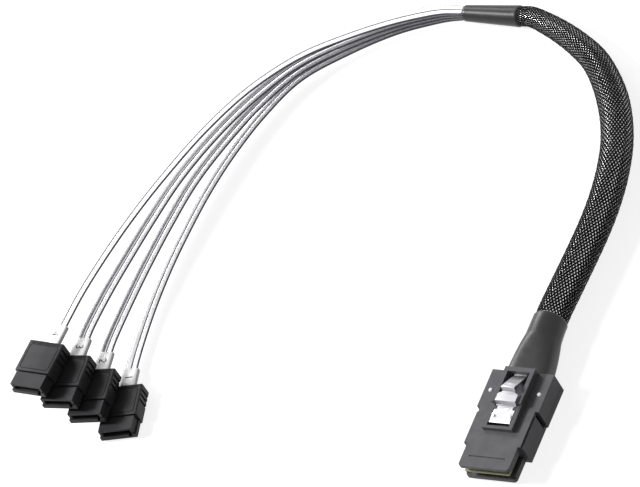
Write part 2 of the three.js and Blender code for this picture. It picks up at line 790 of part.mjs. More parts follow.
function sleeve() {
  const collarStart = COLLAR_END.x + COLLAR_LENGTH;
  const bootEnd = PLUG_BACK + BOOT_LENGTH;
  const points = vectors([
    [0, bootEnd + TURNED_GAP, SLEEVE_AXIS],
    [0, bootEnd + SLEEVE_STRAIGHT, SLEEVE_AXIS],
    ...SLEEVE_ROUTE,
    [collarStart + SLEEVE_STRAIGHT, COLLAR_END.y, COLLAR_END.z],
    [collarStart + TURNED_GAP, COLLAR_END.y, COLLAR_END.z],
  ]);
  const endScale = SLEEVE_END_DIAMETER / SLEEVE_DIAMETER;
  const scaleAt = (share) => {
    const taper = Math.max(0, (share - SLEEVE_TAPER_START) / (1 - SLEEVE_TAPER_START));
    return THREE.MathUtils.lerp(1, endScale, taper);
  };
  return new THREE.ExtrudeGeometry(regularOutline(SLEEVE_DIAMETER, 10), {
    steps: 18,
    extrudePath: new LevelRoute(points, scaleAt),
  });
}

// The shrink collar, turned about its own axis and laid along X
function collar() {
  const wide = COLLAR_DIAMETER / 2;
  const thin = COLLAR_END_DIAMETER / 2;
  const profile = [
    [0, 0],
    [thin - COLLAR_ROUNDING, 0],
    [thin - COLLAR_ROUNDING * 0.3, COLLAR_ROUNDING * 0.3],
    [thin, COLLAR_ROUNDING],
    [wide, COLLAR_LENGTH - COLLAR_ROUNDING],
    [wide - COLLAR_ROUNDING * 0.1, COLLAR_LENGTH - COLLAR_ROUNDING * 0.3],
    [wide - COLLAR_ROUNDING * 0.4, COLLAR_LENGTH],
    [0, COLLAR_LENGTH],
  ].map(([x, y]) => new THREE.Vector2(x, y));
  const geometry = new THREE.LatheGeometry(profile, 20).rotateZ(-Math.PI / 2);
  return solid(geometry.translate(COLLAR_END.x, COLLAR_END.y, COLLAR_END.z));
}

// Two round lobes side by side, the section of one shielded ribbon
function ribbonOutline() {
  const w = RIBBON_WIDTH;
  const t = RIBBON_THICKNESS;
  const upper = [
    [w * 0.5, 0],
    [w * 0.4, t * 0.5],
    [w * 0.12, t * 0.5],
    [0, t * 0.3],
    [-w * 0.12, t * 0.5],
    [-w * 0.4, t * 0.5],
  ];
  return outline([...upper, ...upper.map(([x, y]) => [-x, -y])]);
}

// A point behind a drive plug, on the line of its ribbon
function behind(plug, distance) {
  const turn = THREE.MathUtils.degToRad(plug.turn);
  return [
    plug.x - distance * Math.sin(turn),
    plug.y + distance * Math.cos(turn),
    (plug.number - 1) * STAIR + DRIVE_HEIGHT / 2,
  ];
}

function ribbon(plug) {
  const level = COLLAR_END.z + (plug.number - (DRIVE_PLUGS.length + 1) / 2) * RIBBON_PITCH;
  const points = vectors([
    [COLLAR_END.x - TURNED_GAP, COLLAR_END.y, level],
    ...RIBBON_ROUTES[plug.number - 1],
    behind(plug, RIBBON_STRAIGHT),
    behind(plug, RIBBON_STRAIGHT / 2),
    behind(plug, TURNED_GAP),
  ]);
  const scaleAt = (share) => Math.min(1, THREE.MathUtils.lerp(RIBBON_SQUEEZE, 1, share * 14));
  return new THREE.ExtrudeGeometry(ribbonOutline(), {
    steps: 18,
    extrudePath: new LevelRoute(points, scaleAt),
  });
}

function label() {
  const width = RIBBON_WIDTH + 2 * TURNED_GAP;
  const height = RIBBON_THICKNESS + 2 * TURNED_GAP;
  const outer = roundRectangle(width + 2 * LABEL_WALL, height + 2 * LABEL_WALL, 0.7);
  outer.holes.push(new THREE.Path(roundRectangle(width, height, 0.4).getPoints(2)));
  return prismBack(outer, LABEL_FROM_PLUG, LABEL_FROM_PLUG + LABEL_LENGTH);
}

// Drive plug, in its own frame: cable end at y = 0, underside at z = 0

function overmould() {
  const section = roundRectangle(
    DRIVE_WIDTH,
    DRIVE_HEIGHT,
    OVERMOULD_EDGE,
    0,
    DRIVE_HEIGHT / 2,
  );
  let shape = solid(prismBack(section, -OVERMOULD_LENGTH, 0));
  for (let i = 0; i < GRIP_COUNT; i++) {
    const y = -GRIP_START - i * GRIP_PITCH;
    for (const side of [-1, 1]) {
      const outer = side * (DRIVE_WIDTH / 2 + 1);
      const inner = side * (DRIVE_WIDTH / 2 - GRIP_DEPTH);
      const x0 = Math.min(outer, inner);
      const x1 = Math.max(outer, inner);
      const groove = box(x0, x1, y - GRIP_WIDTH, y, -1, DRIVE_HEIGHT - OVERMOULD_EDGE);
      shape = shape.subtract(solid(groove));
    }
  }
  const middle = (HOUSING_BOTTOM + HOUSING_TOP) / 2;
  const pocket = middleBox(
    TAIL_WIDTH + 2 * TURNED_GAP,
    -OVERMOULD_LENGTH - 1,
    -OVERMOULD_LENGTH + TAIL_DEPTH + TURNED_GAP,
    middle - TAIL_HEIGHT / 2 - TURNED_GAP,
    middle + TAIL_HEIGHT / 2 + TURNED_GAP,
  );
  return shape.subtract(solid(pocket));
}

function housing() {
  const back = -OVERMOULD_LENGTH - TURNED_GAP;
  const front = back - HOUSING_LENGTH;
  const upperWidth = HOUSING_WIDTH - 2 * HOUSING_LIP;
  const upper = middleBox(upperWidth, front + HOUSING_LIP, back, HOUSING_STEP, HOUSING_TOP);
  const lower = middleBox(HOUSING_WIDTH, front, back, HOUSING_BOTTOM, HOUSING_STEP);
  const middle = (HOUSING_BOTTOM + HOUSING_TOP) / 2;
  const tail = middleBox(
    TAIL_WIDTH,
    back - 1,
    -OVERMOULD_LENGTH + TAIL_DEPTH,
    middle - TAIL_HEIGHT / 2,
    middle + TAIL_HEIGHT / 2,
  );
  const mouth = middleBox(
    MOUTH_WIDTH,
    front - 1,
    front + MOUTH_DEPTH,
    HOUSING_STEP,
    HOUSING_STEP + MOUTH_HEIGHT,
  );
  const keyRight = MOUTH_WIDTH / 2;
  const key = box(
    keyRight - KEY_WIDTH,
    keyRight,
    front - 1,
    front + MOUTH_DEPTH,
    HOUSING_STEP - KEY_HEIGHT,
    HOUSING_STEP + MOUTH_HEIGHT,
  );
  return join(upper, lower, tail).subtract(solid(mouth)).subtract(solid(key));
}

// Seven contact strips on one wafer, which stands at the back of the mouth
function contacts() {
  const front = -OVERMOULD_LENGTH - TURNED_GAP - HOUSING_LENGTH;
  const back = front + MOUTH_DEPTH - TURNED_GAP;
  const top = HOUSING_STEP + MOUTH_HEIGHT - TURNED_GAP;
  const waferWidth = CONTACT_PITCH * (CONTACT_COUNT - 1) + CONTACT_WIDTH + 0.4;
  const parts = [middleBox(waferWidth, back - WAFER_LENGTH, back, top - WAFER_HEIGHT, top)];
  for (let i = 0; i < CONTACT_COUNT; i++) {
    const x = (i - (CONTACT_COUNT - 1) / 2) * CONTACT_PITCH;
    parts.push(
      box(
        x - CONTACT_WIDTH / 2,
        x + CONTACT_WIDTH / 2,
        back - WAFER_LENGTH / 2 - CONTACT_LENGTH,
        back - WAFER_LENGTH / 2,
        top - CONTACT_THICKNESS,
        top,
      ),
    );
  }
  return join(...parts);
}

function drivePlug(plug) {
  const group = new THREE.Group();
  const name = `drive_plug_${plug.number}`;
  group.position.set(plug.x, plug.y, (plug.number - 1) * STAIR);
  group.rotation.z = THREE.MathUtils.degToRad(plug.turn);
  const tag = piece(`label_${plug.number}`, label(), paper());
  tag.position.z = DRIVE_HEIGHT / 2;
  group.add(
    piece(`${name}_overmould`, overmould(), blackGloss()),
    piece(`${name}_housing`, housing(), blackGloss()),
    piece(`${name}_contacts`, contacts(), gold()),
    tag,
  );
  return group;
}

// The whole cable

const cable = new THREE.Group();
cable.name = "mini_sas_breakout_cable";

const hostPlug = new THREE.Group();
hostPlug.add(
  piece("host_plug_top_shell", topShell(), darkPlastic()),
  piece("host_plug_bottom_shell", bottomShell(), darkGrey()),
  piece("paddle_card", paddleCard(), cardGreen()),
  piece("wire_block", wireBlock(), blackGloss()),
  piece("rivet_left", rivet(-1), spring()),
  piece("rivet_right", rivet(1), spring()),
  piece("latch", latch(), spring()),
  piece("boot", boot(), shrinkTube()),
);
cable.add(hostPlug);

cable.add(piece("sleeve", sleeve(), braid()), piece("collar", collar(), shrinkTube()));

for (const plug of DRIVE_PLUGS) {
  cable.add(piece(`ribbon_${plug.number}`, ribbon(plug), silver()), drivePlug(plug));
}

export default cable;
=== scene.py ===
# %% [markdown]
# A breakout cable: a wide host plug with a sprung steel latch, a boot, a black braided
# sleeve, a collar, and four flat ribbons that end in four small drive plugs. The solids come
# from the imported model. This script dresses them: it makes the cords again with their real
# section and weave, rounds the moulded edges, and gives every surface its material.

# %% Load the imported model
import math

import bmesh
import bpy
import numpy as np
from mathutils import Matrix, Vector


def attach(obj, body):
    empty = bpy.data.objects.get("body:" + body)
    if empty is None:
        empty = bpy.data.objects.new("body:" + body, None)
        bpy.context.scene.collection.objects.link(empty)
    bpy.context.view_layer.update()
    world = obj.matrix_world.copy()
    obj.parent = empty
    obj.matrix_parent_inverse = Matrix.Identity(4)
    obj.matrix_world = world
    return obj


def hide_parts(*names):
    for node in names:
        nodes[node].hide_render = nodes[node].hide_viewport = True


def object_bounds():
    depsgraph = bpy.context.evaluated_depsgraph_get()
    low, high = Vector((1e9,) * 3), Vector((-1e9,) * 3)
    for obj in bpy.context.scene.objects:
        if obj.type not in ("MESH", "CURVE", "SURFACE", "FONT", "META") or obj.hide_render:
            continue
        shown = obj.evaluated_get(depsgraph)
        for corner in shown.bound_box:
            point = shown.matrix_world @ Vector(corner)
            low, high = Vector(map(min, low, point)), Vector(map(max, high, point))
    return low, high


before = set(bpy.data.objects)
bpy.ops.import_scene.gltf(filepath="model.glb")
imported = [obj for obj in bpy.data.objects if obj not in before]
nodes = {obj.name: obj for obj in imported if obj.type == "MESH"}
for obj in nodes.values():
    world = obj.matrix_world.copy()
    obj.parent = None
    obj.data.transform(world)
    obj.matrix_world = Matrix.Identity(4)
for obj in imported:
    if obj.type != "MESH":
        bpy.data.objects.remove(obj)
cad_low, cad_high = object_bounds()
MM = 0.001
BODY = "cable"
LATCH_BODY = "latch"
cad_sides = [round((b - a) / MM, 1) for a, b in zip(cad_low, cad_high)]
print("frame:", len(nodes), "nodes, box in mm", cad_sides)

# %% [markdown]
# The camera looks down from the right of the host plug with a very long lens, so that lines
# that are parallel on the cable stay nearly parallel in the picture. It is also rolled. Its
# three angles, its distance and its lens were fitted to corners of the two kinds of plug.

# %% Camera
IMAGE_WIDTH = 640
AZIMUTH = math.radians(48.3)
ELEVATION = math.radians(44.734)
ROLL = math.radians(-33.526)
FOCAL_PIXELS = 5453.0
TARGET = Vector((-104.81, 69.14, 0.0)) * MM
DISTANCE = 1879.4 * MM

forward = Vector((-math.sin(AZIMUTH) * math.cos(ELEVATION), math.cos(AZIMUTH) * math.cos(ELEVATION),
                  -math.sin(ELEVATION)))
level_right = Vector((math.cos(AZIMUTH), math.sin(AZIMUTH), 0.0))
level_up = level_right.cross(forward)
right = level_right * math.cos(ROLL) + level_up * math.sin(ROLL)
up = level_up * math.cos(ROLL) - level_right * math.sin(ROLL)

camera_data = bpy.data.cameras.new("camera")
camera_data.sensor_width = 36.0
camera_data.lens = FOCAL_PIXELS / IMAGE_WIDTH * camera_data.sensor_width
camera_data.clip_start = 0.05
camera_data.clip_end = 20.0
camera = bpy.data.objects.new("camera", camera_data)
bpy.context.scene.collection.objects.link(camera)
turned = Matrix((right, up, -forward)).transposed().to_4x4()
camera.matrix_world = Matrix.Translation(TARGET - forward * DISTANCE) @ turned
bpy.context.scene.camera = camera
print("camera: lens", round(camera_data.lens, 1), "mm")

# %% [markdown]
# Nearly every new piece here is a tube: a closed outline that is carried along a line. One
# helper puts any number of such tubes into one mesh, so that the sleeve's fifty-six
# strands and a single ribbon are made by the same few lines.

# %% Tubes from arrays
def tubes(name, rings, material, marks=None, closed=False, sharp=40.0):
    """One mesh of tubes. rings has the shape (tube, ring, point, xyz), in metres.

    Point j of ring i joins point j+1 of its own ring and point j of ring i+1, so each small
    square of the grid is a face. The last point round joins the first. With closed, the last
    ring joins the first as well. Otherwise one face closes each end.
    """
    tube_count, ring_count, around, _ = rings.shape
    index = np.arange(tube_count * ring_count * around).reshape(tube_count, ring_count, around)
    beside = np.roll(index, -1, axis=2)
    here, there = index, np.roll(index, -1, axis=1)
    quads = np.stack([here, beside, np.roll(beside, -1, axis=1), there], axis=-1)
    if not closed:
        quads = quads[:, :-1]
    faces = quads.reshape(-1, 4).tolist()
    if not closed:
        faces += index[:, 0, ::-1].tolist() + index[:, -1, :].tolist()
    mesh = bpy.data.meshes.new(name)
    mesh.from_pydata(rings.reshape(-1, 3).tolist(), [], faces)
    for key, values in (marks or {}).items():
        layer = mesh.attributes.new(key, "FLOAT", "POINT")
        spread_out = np.broadcast_to(values, rings.shape[:3]).astype(np.float32)
        layer.data.foreach_set("value", spread_out.ravel())
    mesh.shade_smooth()
    mesh.set_sharp_from_angle(angle=math.radians(sharp))
    return placed(name, mesh, material)


def placed(name, mesh, material, body=BODY):
    """An object at the origin that holds the mesh, has its finish and rides on its body."""
    obj = bpy.data.objects.new(name, mesh)
    bpy.context.scene.collection.objects.link(obj)
    mesh.materials.clear()
    mesh.materials.append(material)
    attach(obj, body)
    return obj


# %% [markdown]
# A cord's line has to be the one that its solid follows, so the same points are joined in
# the same way: by a smooth curve that passes through each of them, whose speed goes with
# the square root of the distance between neighbours. That curve doesn't overshoot where
# points lie close together, as they do at the plugs.

# %% Routes
def smooth_line(points, per_span=24):
    """A centripetal Catmull-Rom curve. Each span's end slopes come from its own two points
    and their neighbours, weighted by the square roots of the distances, and a cubic joins
    them. Beyond each end a mirrored point stands in for the missing neighbour."""
    p = np.asarray(points, float)
    p = np.vstack([2 * p[0] - p[1], p, 2 * p[-1] - p[-2]])
    gap = np.sqrt(np.linalg.norm(np.diff(p, axis=0), axis=1))[:, None]
    g0, g1, g2 = gap[:-2], gap[1:-1], gap[2:]
    a, b, c, d = p[:-3], p[1:-2], p[2:-1], p[3:]
    m1 = ((b - a) / g0 - (c - a) / (g0 + g1) + (c - b) / g1) * g1
    m2 = ((c - b) / g1 - (d - b) / (g1 + g2) + (d - c) / g2) * g1
    t = np.linspace(0, 1, per_span, endpoint=False)[:, None, None]
    cubic = b + m1 * t + (3 * (c - b) - 2 * m1 - m2) * t**2 + (2 * (b - c) + m1 + m2) * t**3
    return np.vstack([cubic.transpose(1, 0, 2).reshape(-1, 3), p[-2]])


def even_line(points, count):
    """The same curve as count points at equal steps, with its tangent, its level sideways
    direction (straight up crossed with the tangent) and the direction square to both."""
    line = smooth_line(points)
    travelled = np.concatenate([[0], np.cumsum(np.linalg.norm(np.diff(line, axis=0), axis=1))])
    steps = np.linspace(0, travelled[-1], count)
    centre = np.stack([np.interp(steps, travelled, line[:, k]) for k in range(3)], axis=1)
    tangent = np.gradient(centre, axis=0)
    tangent /= np.linalg.norm(tangent, axis=1)[:, None]
    side = np.cross([0.0, 0.0, 1.0], tangent)
    side /= np.linalg.norm(side, axis=1)[:, None]
    return centre, tangent, side, np.cross(tangent, side), steps


def straight_length(line):
    """The length of a line of points."""
    return float(np.linalg.norm(np.diff(line, axis=0), axis=1).sum())


# %% [markdown]
# A material's pattern should come from the thing itself. On a moulding it is the fine
# grain of the tool, on sheet metal the brushing, and on a cord it runs along the cord, so
# there the shader reads a number that the mesh carries for "across".

# %% Material helpers
def material_of(name, colour, roughness, metallic=0.0, specular=0.5):
    """A Principled material, with its plain numbers on the shader's own sockets."""
    made = bpy.data.materials.new(name)
    made.use_nodes = True
    shader = made.node_tree.nodes["Principled BSDF"]
    shader.inputs["Base Color"].default_value = (*colour, 1)
    shader.inputs["Roughness"].default_value = roughness
    shader.inputs["Metallic"].default_value = metallic
    shader.inputs["Specular IOR Level"].default_value = specular
    return made, made.node_tree, shader


def add(tree, kind, inputs=None, **settings):
    """A node, with its settings and its inputs: a number or colour, or a socket to link."""
    node = tree.nodes.new("ShaderNode" + kind)
    for key, value in settings.items():
        setattr(node, key, value)
    for key, value in (inputs or {}).items():
        if isinstance(value, bpy.types.NodeSocket):
            tree.links.new(value, node.inputs[key])
        else:
            node.inputs[key].default_value = value
    return node


def place(tree, scale=(1, 1, 1)):
    """Object coordinates, stretched: a small scale on an axis draws a pattern out along it."""
    coordinates = add(tree, "TexCoord").outputs["Object"]
    return add(tree, "Mapping", {"Vector": coordinates, "Scale": scale}).outputs[0]


def noise(tree, vector, scale, detail=4.0):
    """Soft random clouds between 0 and 1, scale of them to the metre."""
    return add(tree, "TexNoise", {"Vector": vector, "Scale": scale, "Detail": detail}).outputs["Fac"]


def spread(tree, value, low, high, a=0.0, b=1.0):
    """Takes a value from the range low..high to the range a..b, and keeps it there."""
    return add(tree, "MapRange", {"Value": value, "From Min": low, "From Max": high,
                                  "To Min": a, "To Max": b}).outputs["Result"]


def blend(tree, share, first, second):
    """The first colour where share is 0 and the second where it is 1."""
    mix = add(tree, "Mix", data_type="RGBA")
    for key, value in ((0, share), (6, first), (7, second)):
        if isinstance(value, bpy.types.NodeSocket):
            tree.links.new(value, mix.inputs[key])
        else:
            mix.inputs[key].default_value = value if key == 0 else (*value, 1)
    return mix.outputs[2]


def sums(tree, operation, a, b=0.0):
    """One step of arithmetic on one or two values."""
    return add(tree, "Math", {0: a, 1: b}, operation=operation).outputs[0]


def mark(tree, name):
    """The number that the mesh carries under that name."""
    return add(tree, "Attribute", attribute_name=name).outputs["Fac"]


def bumped(tree, shader, height, distance, strength=0.5):
    """Lets a value tilt the surface as if it were raised by up to distance, in metres."""
    node = add(tree, "Bump", {"Height": height, "Distance": distance, "Strength": strength})
    tree.links.new(node.outputs[0], shader.inputs["Normal"])


# %% [markdown]
# Moulded plastic isn't one colour: the tool's spark texture breaks up the light, and the
# flow of the melt leaves soft clouds. Both are small, and both are easy to overdo.

# %% Moulded plastics
def moulded(name, colour, roughness, grain, specular=0.5):
    """Plastic with soft clouds in its colour and a fine grain in its surface."""
    made, tree, shader = material_of(name, colour, roughness, specular=specular)
    where = place(tree)
    clouds = spread(tree, noise(tree, where, 220.0), 0.35, 0.65)
    darker = tuple(0.86 * c for c in colour)
    lighter = tuple(min(1.0, 1.12 * c) for c in colour)
    tree.links.new(blend(tree, clouds, darker, lighter), shader.inputs["Base Color"])
    fine = noise(tree, where, 5200.0, 2.0)
    uneven = spread(tree, fine, 0.3, 0.7, roughness - 0.05, roughness + 0.08)
    tree.links.new(uneven, shader.inputs["Roughness"])
    bumped(tree, shader, fine, grain)
    return made


host_plastic = moulded("host_plastic", (0.1, 0.1, 0.107), 0.5, 2e-5, specular=0.3)
host_plastic_dark = moulded("host_plastic_dark", (0.098, 0.098, 0.105), 0.52, 2e-5, specular=0.3)
black_mould = moulded("black_mould", (0.038, 0.038, 0.041), 0.34, 3e-6, specular=0.12)
# Near black for the trim lines is painted shade: the raised lines are made to read as dark grooves.
trim_line_painted_shade = moulded("trim_line_painted_shade", (0.004, 0.004, 0.0045), 0.5, 3e-6, specular=0.1)

# %% [markdown]
# The latch and the rivets are bright sheet steel. Rolling and brushing leave streaks, here
# across the plug, so the noise is drawn out along X and changes quickly along Y.

# %% Metals
def brushed(name, colour, roughness):
    """Metal whose roughness and height follow a noise that is drawn out along X."""
    made, tree, shader = material_of(name, colour, roughness, metallic=1.0)
    streaks = noise(tree, place(tree, (60, 3200, 3200)), 1.0, 3.0)
    uneven = spread(tree, streaks, 0.3, 0.7, roughness - 0.08, roughness + 0.14)
    tree.links.new(uneven, shader.inputs["Roughness"])
    tone = blend(tree, streaks, tuple(0.88 * c for c in colour), colour)
    tree.links.new(tone, shader.inputs["Base Color"])
    bumped(tree, shader, streaks, 4e-6)
    return made


GOLD = (0.75, 0.5, 0.18)
spring_steel = brushed("spring_steel", (0.5, 0.5, 0.52), 0.4)
contact_gold = brushed("contact_gold", GOLD, 0.25)

# %% [markdown]
# The card's laminate is a pale olive, and its contact pads stand out from it by a few
# hundredths of a millimetre. The pads belong to the card's solid, so the shader tells them
# apart by height: what lies above the laminate's top or below its underside is gold.

# %% Card
CARD_MIDDLE = 5.1 * MM
CARD_HALF = 0.5 * MM
PAD_EDGE = 0.02 * MM

card_laminate, tree, shader = material_of("card_laminate", (0.4, 0.39, 0.235), 0.45)
height = add(tree, "SeparateXYZ", {0: add(tree, "TexCoord").outputs["Object"]}).outputs["Z"]
off_middle = sums(tree, "ABSOLUTE", sums(tree, "SUBTRACT", height, CARD_MIDDLE))
is_pad = sums(tree, "GREATER_THAN", off_middle, CARD_HALF + PAD_EDGE)
weave = noise(tree, place(tree), 2600.0, 2.0)
laminate = blend(tree, spread(tree, weave, 0.35, 0.65), (0.34, 0.335, 0.19), (0.46, 0.45, 0.28))
tree.links.new(blend(tree, is_pad, laminate, GOLD), shader.inputs["Base Color"])
tree.links.new(is_pad, shader.inputs["Metallic"])

# %% [markdown]
# Cord finishes. Shrink tube is satin, with slow ripples left by the hot air. The ribbons
# are foil under a clear jacket: bright and finely crinkled. Their colour is darkened as
# painted shade in the groove between the two cores and at the rims, where the jacket is
# seen edge on. Two of the ribbons also have a grey band along one core.

# %% Cord finishes
shrink_tube, tree, shader = material_of("shrink_tube", (0.014, 0.014, 0.015), 0.3, specular=0.45)
ripples = noise(tree, place(tree), 420.0, 3.0)
tree.links.new(spread(tree, ripples, 0.3, 0.7, 0.27, 0.36), shader.inputs["Roughness"])
bumped(tree, shader, ripples, 6e-5, 0.3)


THREADS = 60.0


def ribbon_jacket_of(name, band):
    """Foil under a clear jacket. across runs from -1 to 1 over the ribbon's width."""
    made, tree, shader = material_of(name, (0.9, 0.9, 0.92), 0.4, metallic=0.7)
    across = mark(tree, "across")
    off_groove = sums(tree, "ABSOLUTE", across)
    # Painted shade: the colour darkens in the groove between the cores and at the rims.
    groove = spread(tree, off_groove, 0.05, 0.13, 1.0, 0.0)
    rim = spread(tree, off_groove, 0.78, 0.88)
    lines = sums(tree, "MAXIMUM", groove, rim)
    if band:
        rising = spread(tree, across, -0.84, -0.78)
        falling = spread(tree, across, -0.28, -0.2, 1.0, 0.0)
        waves = sums(tree, "SINE", sums(tree, "MULTIPLY", across, THREADS))
        threads = spread(tree, waves, -1.0, 1.0, 0.75, 1.0)
        band_share = sums(tree, "MULTIPLY", sums(tree, "MULTIPLY", rising, falling), threads)
        lines = sums(tree, "MAXIMUM", lines, band_share)
    crinkle = noise(tree, place(tree), 1500.0, 4.0)
    foil = blend(tree, spread(tree, crinkle, 0.35, 0.65), (0.93, 0.93, 0.95), (0.99, 0.99, 1.0))
    # The dark colour is painted shade in the groove and at the rims, and on two ribbons also the grey band
    # along one core.
    tree.links.new(blend(tree, lines, foil, (0.06, 0.06, 0.07)), shader.inputs["Base Color"])
    bumped(tree, shader, crinkle, 3e-5, 0.4)
    return made


ribbon_jacket = ribbon_jacket_of("ribbon_jacket", band=False)
banded_ribbon_jacket_painted_shade = ribbon_jacket_of("banded_ribbon_jacket_painted_shade", band=True)

braid, tree, shader = material_of("braid", (0.002, 0.002, 0.0024), 0.3, specular=0.06)
filament = sums(tree, "SINE", sums(tree, "MULTIPLY", mark(tree, "across"), 3 * math.pi))
worn = spread(tree, noise(tree, place(tree), 900.0, 2.0), 0.3, 0.7, 0.24, 0.4)
tree.links.new(worn, shader.inputs["Roughness"])
bumped(tree, shader, filament, 4e-5, 0.6)

bundle_foil, tree, shader = material_of("bundle_foil", (1.0, 1.0, 1.0), 0.3, metallic=0.75)
bumped(tree, shader, noise(tree, place(tree), 1500.0, 3.0), 3e-5, 0.4)

label_film, tree, shader = material_of("label_film", (0.96, 0.96, 0.96), 0.4, metallic=0.4)
# Painted shade: the film's sides turn grey, where |across| passes 0.9.
film_edge_painted_shade = spread(tree, sums(tree, "ABSOLUTE", mark(tree, "across")), 0.9, 0.97)
film_tone_with_painted_edge_shade = blend(tree, film_edge_painted_shade, (0.93, 0.93, 0.93), (0.36, 0.36, 0.38))
tree.links.new(film_tone_with_painted_edge_shade, shader.inputs["Base Color"])
bumped(tree, shader, noise(tree, place(tree), 700.0, 2.0), 2e-5, 0.3)
label_ink, tree, shader = material_of("label_ink", (0.03, 0.03, 0.035), 0.5)
print("materials:", len(bpy.data.materials))

# %% [markdown]
# The sleeve is an open braid of plastic filament. A smooth black tube would do from far
# off, but the real one has a broken outline and lets the ribbons shine through, so its
# strands are made one by one: half wind to the left and half to the right, and each goes
# under and over the others by turns.

# %% Sleeve
SLEEVE_POINTS = np.array([
    (0, 42.55, 5.75), (0, 46.25, 5.75), (0.6, 58, 5.75), (1.2, 70, 5.75), (1.5, 82, 5.75), (1.0, 93, 5.75),
    (-0.6, 104.5, 5.75), (-3.6, 116.3, 5.75), (-8.6, 128, 5.75), (-15.8, 139.4, 5.5), (-25.3, 150.2, 5.2),
    (-34.3, 156.8, 4.9), (-43, 161.9, 4.5), (-51.5, 166, 4.1), (-58.6, 168.6, 4), (-62.3, 168.6, 4),
]) * MM
SLEEVE_RADIUS = 5.7 * MM
SLEEVE_END_RADIUS = 3.6 * MM
TAPER_START = 0.6
STRANDS_EACH_WAY = 28
TURN_LENGTH = 56 * MM
STRAND_THICKNESS = 0.16 * MM
STRAND_COVER = 0.5  # strand width over the distance between strands

centre, tangent, side, lift, steps = even_line(SLEEVE_POINTS, 315)
share = steps / steps[-1]
taper = np.clip((share - TAPER_START) / (1 - TAPER_START), 0, 1)
radius = SLEEVE_RADIUS + (SLEEVE_END_RADIUS - SLEEVE_RADIUS) * taper


def braid_rings(way):
    """Strands that wind one way. Strand k's angle is k equal parts of a turn plus way times
    the distance over TURN_LENGTH. Its distance from the axis swings by a cosine of the
    opposite strands that it has met, so that it passes over one and under the next."""
    k = np.arange(STRANDS_EACH_WAY)[:, None]
    angle = 2 * np.pi * (k / STRANDS_EACH_WAY + way * steps / TURN_LENGTH)
    met = STRANDS_EACH_WAY * 2 * steps / TURN_LENGTH + way * k
    swing = way * np.cos(np.pi * met) * STRAND_THICKNESS / 2
    reach = radius - STRAND_THICKNESS + swing
    outward = np.cos(angle)[..., None] * side + np.sin(angle)[..., None] * lift
    round_it = way * (-np.sin(angle)[..., None] * side + np.cos(angle)[..., None] * lift)
    slope = 2 * np.pi * radius[:, None] / TURN_LENGTH
    run = tangent + round_it * slope
    run /= np.linalg.norm(run, axis=-1, keepdims=True)
    across = np.cross(outward, run)
    spacing = 2 * np.pi * radius / STRANDS_EACH_WAY / np.sqrt(1 + slope[:, 0] ** 2)
    half = (STRAND_COVER * spacing / 2)[:, None]
    middle = centre + outward * reach[..., None]
    corner = [across * half, outward * STRAND_THICKNESS / 2, -across * half, -outward * STRAND_THICKNESS / 2]
    return np.stack([middle + c for c in corner], axis=2)


strands = np.concatenate([braid_rings(1), braid_rings(-1)])
sleeve = tubes("braided_sleeve", strands, braid, {"across": [1.0, 0.0, -1.0, 0.0]}, sharp=180.0)
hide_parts("sleeve")

# %% [markdown]
# Bright flecks show through the weave, and they are taken to be the foil of the ribbons
# inside. Packed together those make a round bundle with eight cores at its rim, so one lobed
# tube stands for them: only small diamonds of it are ever seen.

# %% Ribbons inside the sleeve
BUNDLE_CLEARANCE = 0.34 * MM
CORES = 8
LOBE_DEPTH = 0.02


def bundle_rings(around=64):
    """The sleeve's radius less a clearance, pinched by LOBE_DEPTH times |sin(4 a)| between
    the cores, where a is the angle round the axis."""
    a = np.arange(around) / around * 2 * np.pi
    reach = (radius - BUNDLE_CLEARANCE)[:, None] * (1 - LOBE_DEPTH * np.abs(np.sin(CORES / 2 * a)))
    outward = np.cos(a)[None, :, None] * side[:, None] + np.sin(a)[None, :, None] * lift[:, None]
    return (centre[:, None] + outward * reach[..., None])[None, ::2]


bundle = tubes("ribbon_bundle", bundle_rings(), bundle_foil, sharp=180.0)
print("sleeve:", len(strands), "strands,", len(sleeve.data.polygons) * 2, "triangles")

# %% [markdown]
# Each ribbon is two round cores side by side in one jacket, nearly five times as wide as
# it is thick. It lies flat all the way, because a ribbon bends easily over its flat
# side and hardly at all over its edge, and the four lie on each other where they leave the
# collar.

